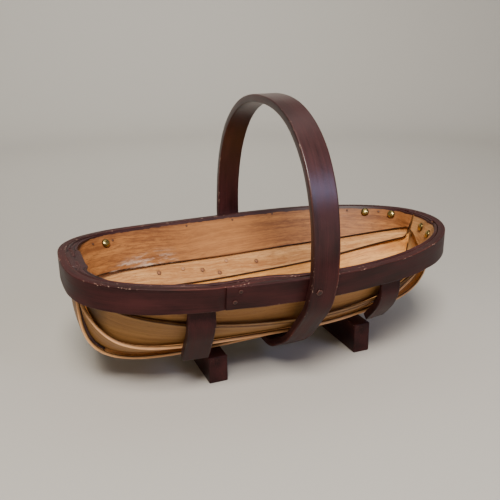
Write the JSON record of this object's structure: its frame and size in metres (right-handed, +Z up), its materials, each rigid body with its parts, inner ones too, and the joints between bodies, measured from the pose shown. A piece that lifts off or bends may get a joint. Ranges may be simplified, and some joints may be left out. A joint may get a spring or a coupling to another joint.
{
  "type": "garden trug",
  "caption": "Shallow boat-shaped garden trug of lapped willow boards in a painted bent-wood rim, with a fixed bent-wood hoop handle, ribs and feet, for carrying cut flowers and vegetables.",
  "frame": {"origin": "on the floor, under the middle of the trug's bounding box", "axes": "+X along the trug from its blunt end to its rounder end, +Y across it, +Z up"},
  "size_m": [0.464, 0.2842, 0.309],
  "materials": {
    "painted_wood": "dark red-brown satin paint, worn at the edges",
    "willow_board": "bare shaved willow, darkened outside",
    "brass": "polished, slightly tarnished",
    "nail_steel": "dark, rusted"
  },
  "bodies": {
    "root": {"rim_hoop": "painted_wood", "handle_hoop": "painted_wood", "rib_near_left": "painted_wood", "rib_near_right": "painted_wood", "rib_far_left": "painted_wood", "rib_far_right": "painted_wood", "foot_left": "painted_wood", "foot_right": "painted_wood", "centre_board": "willow_board", "third_board_near": "willow_board", "third_board_far": "willow_board", "second_board_near": "willow_board", "second_board_far": "willow_board", "side_board_near": "willow_board", "side_board_far": "willow_board", "brass_nail_far_1": "brass", "brass_nail_far_2": "brass", "brass_nail_far_3": "brass", "brass_nail_end_1": "brass", "brass_nail_end_2": "brass", "tack_far_1": "nail_steel", "tack_far_2": "nail_steel", "tack_far_3": "nail_steel", "tack_far_4": "nail_steel", "tack_far_5": "nail_steel", "tack_far_6": "nail_steel", "tack_far_7": "nail_steel", "board_nail_1": "nail_steel", "board_nail_2": "nail_steel", "board_nail_3": "nail_steel", "board_nail_4": "nail_steel", "board_nail_5": "nail_steel", "board_nail_6": "nail_steel", "lap_nail_1": "nail_steel", "lap_nail_2": "nail_steel", "handle_nail_near": "nail_steel", "handle_nail_far": "nail_steel", "foot_nail_near_left": "nail_steel", "foot_nail_near_right": "nail_steel", "foot_nail_far_left": "nail_steel", "foot_nail_far_right": "nail_steel"}
  },
  "joints": []
}
